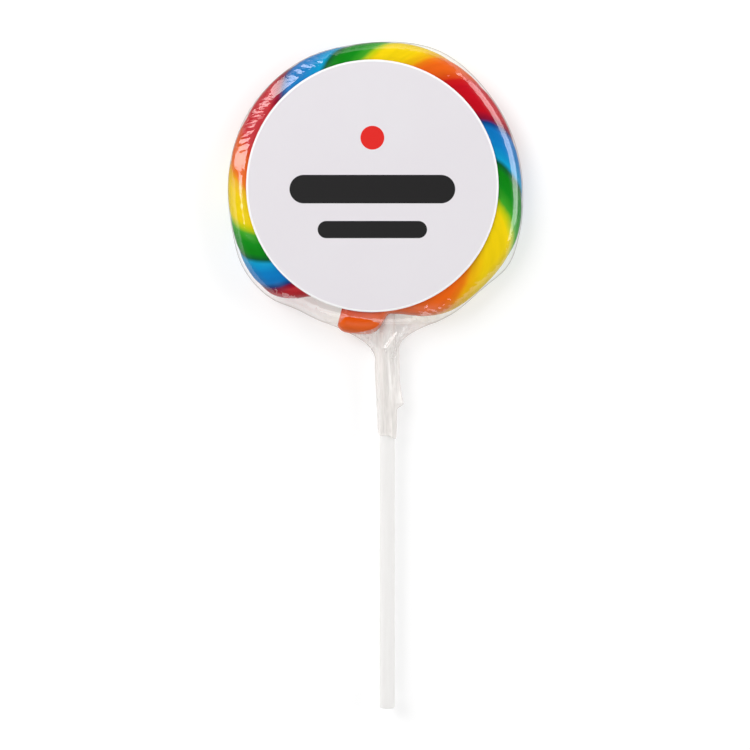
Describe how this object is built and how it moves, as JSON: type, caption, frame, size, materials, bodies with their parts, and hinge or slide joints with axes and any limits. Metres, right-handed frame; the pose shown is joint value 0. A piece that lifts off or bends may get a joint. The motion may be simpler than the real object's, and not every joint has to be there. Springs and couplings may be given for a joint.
{
  "type": "swirl lollipop",
  "caption": "Flat round coil of twisted rainbow hard candy on a white paper stick, wrapped in clear film gathered round the stick, with a plain round label.",
  "frame": {"origin": "middle of the coil, on the flat of its back, where the lollipop rests", "axes": "+Z out of the labelled front, -Y along the stick away from the candy, +X to the right seen from the front"},
  "size_m": [0.0898, 0.2027, 0.0116],
  "materials": {
    "wrapped_candy": "glossy boiled sugar in rainbow stripes under clear film",
    "stick": "matt white rolled paper",
    "label": "satin pale grey coated paper"
  },
  "bodies": {
    "root": {"wrapped_candy": "wrapped_candy", "stick": "stick", "label": "label"}
  },
  "joints": []
}
